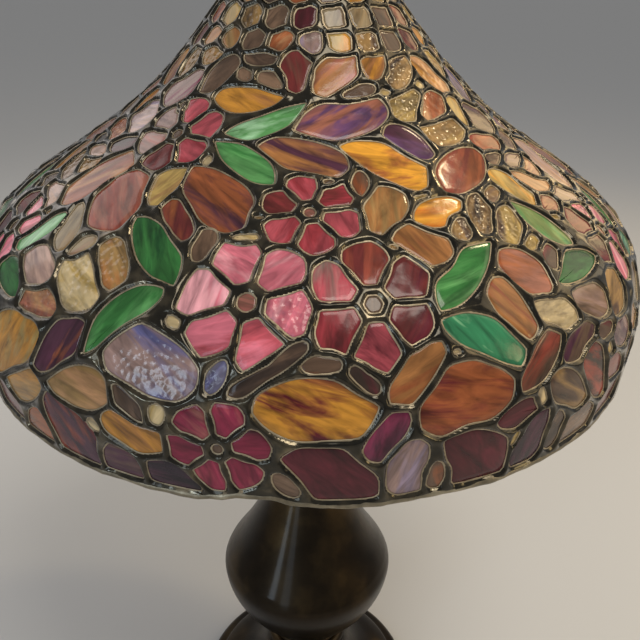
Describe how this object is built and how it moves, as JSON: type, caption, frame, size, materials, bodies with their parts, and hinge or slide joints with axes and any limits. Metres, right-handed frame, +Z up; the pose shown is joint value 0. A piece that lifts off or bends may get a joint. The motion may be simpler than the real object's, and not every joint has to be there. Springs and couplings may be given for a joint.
{
  "type": "table lamp",
  "caption": "Table lamp with a flared leaded-glass flower shade on a turned dark bronze urn base, with pull-chain sockets under the shade.",
  "frame": {"origin": "centre of the foot's underside, on the table", "axes": "+Z up along the lamp's axis; -Y faces the viewer, +X to the viewer's right"},
  "size_m": [0.415, 0.4158, 0.6419],
  "materials": {
    "bronze": "dark bronze patina, satin to gloss",
    "steel": "zinc-plated",
    "old_brass": "aged brass",
    "bulb_glass": "frosted",
    "felt": "felt",
    "iron": "raw casting",
    "black_plastic": "moulded",
    "solder": "dark patina over tin-lead solder, glossy",
    "glass_rose": "opalescent sheet glass, streaked",
    "glass_ruby": "opalescent sheet glass, streaked",
    "glass_scarlet": "opalescent sheet glass, streaked",
    "glass_magenta": "opalescent sheet glass, streaked",
    "glass_green": "opalescent sheet glass, streaked",
    "glass_amber": "opalescent sheet glass, streaked",
    "glass_russet": "opalescent sheet glass, streaked",
    "glass_dusk": "opalescent sheet glass, streaked",
    "glass_mauve": "opalescent sheet glass, streaked",
    "glass_plum": "opalescent sheet glass, streaked",
    "glass_tan": "opalescent sheet glass, streaked",
    "glass_coral": "opalescent sheet glass, streaked",
    "glass_cream": "opalescent sheet glass, streaked",
    "glass_gold": "opalescent sheet glass, streaked",
    "glass_brown": "opalescent sheet glass, streaked"
  },
  "bodies": {
    "base": {"felt_pad": "felt", "foot": "bronze", "ballast": "iron", "foot_nut": "steel", "cord_bushing": "black_plastic", "waist_knop": "bronze", "urn_body": "bronze", "neck_collar": "bronze", "stem": "bronze", "check_ring": "bronze", "threaded_rod": "steel", "seat_nut": "steel", "cluster_body": "bronze", "cluster_cap": "bronze", "socket_cap_1": "bronze", "socket_shell_1": "old_brass", "switch_spout_1": "old_brass", "socket_cap_2": "bronze", "socket_shell_2": "old_brass", "switch_spout_2": "old_brass", "socket_cap_3": "bronze", "socket_shell_3": "old_brass", "switch_spout_3": "old_brass"},
    "shade": {"spider": "old_brass", "aperture_ring": "old_brass", "solder_shell": "solder", "rim_bead": "solder", "heat_cap": "bronze", "glass_rose": "glass_rose", "glass_ruby": "glass_ruby", "glass_scarlet": "glass_scarlet", "glass_magenta": "glass_magenta", "glass_green": "glass_green", "glass_amber": "glass_amber", "glass_russet": "glass_russet", "glass_dusk": "glass_dusk", "glass_mauve": "glass_mauve", "glass_plum": "glass_plum", "glass_tan": "glass_tan", "glass_coral": "glass_coral", "glass_cream": "glass_cream", "glass_gold": "glass_gold", "glass_brown": "glass_brown"},
    "finial": {"finial": "bronze"},
    "bulb_1": {"bulb_1": "bulb_glass"},
    "chain_1": {"pull_chain_1": "old_brass", "pull_bell_1": "bronze"},
    "bulb_2": {"bulb_2": "bulb_glass"},
    "chain_2": {"pull_chain_2": "old_brass", "pull_bell_2": "bronze"},
    "bulb_3": {"bulb_3": "bulb_glass"},
    "chain_3": {"pull_chain_3": "old_brass", "pull_bell_3": "bronze"}
  },
  "joints": [
    {"name": "shade_swivel", "type": "hinge", "parent": "base", "child": "shade", "pos_m": [0, 0, 0.5816], "axis": [0, 0, 1], "continuous": true},
    {"name": "finial_turn", "type": "hinge", "parent": "base", "child": "finial", "pos_m": [0, 0, 0.61], "axis": [0, 0, 1], "continuous": true},
    {"name": "bulb_1_draw", "type": "slide", "parent": "base", "child": "bulb_1", "axis": [0.8627, 0.4981, 0.0872], "range_m": [0, 0.022]},
    {"name": "chain_1_pull", "type": "slide", "parent": "base", "child": "chain_1", "axis": [0, 0, -1], "range_m": [0, 0.008], "stiffness_N_per_m": 60, "springref_m": -0.005},
    {"name": "bulb_2_draw", "type": "slide", "parent": "base", "child": "bulb_2", "axis": [-0.8627, 0.4981, 0.0872], "range_m": [0, 0.022]},
    {"name": "chain_2_pull", "type": "slide", "parent": "base", "child": "chain_2", "axis": [0, 0, -1], "range_m": [0, 0.008], "stiffness_N_per_m": 60, "springref_m": -0.005},
    {"name": "bulb_3_draw", "type": "slide", "parent": "base", "child": "bulb_3", "axis": [0, -0.9962, 0.0872], "range_m": [0, 0.022]},
    {"name": "chain_3_pull", "type": "slide", "parent": "base", "child": "chain_3", "axis": [0, 0, -1], "range_m": [0, 0.008], "stiffness_N_per_m": 60, "springref_m": -0.005}
  ]
}
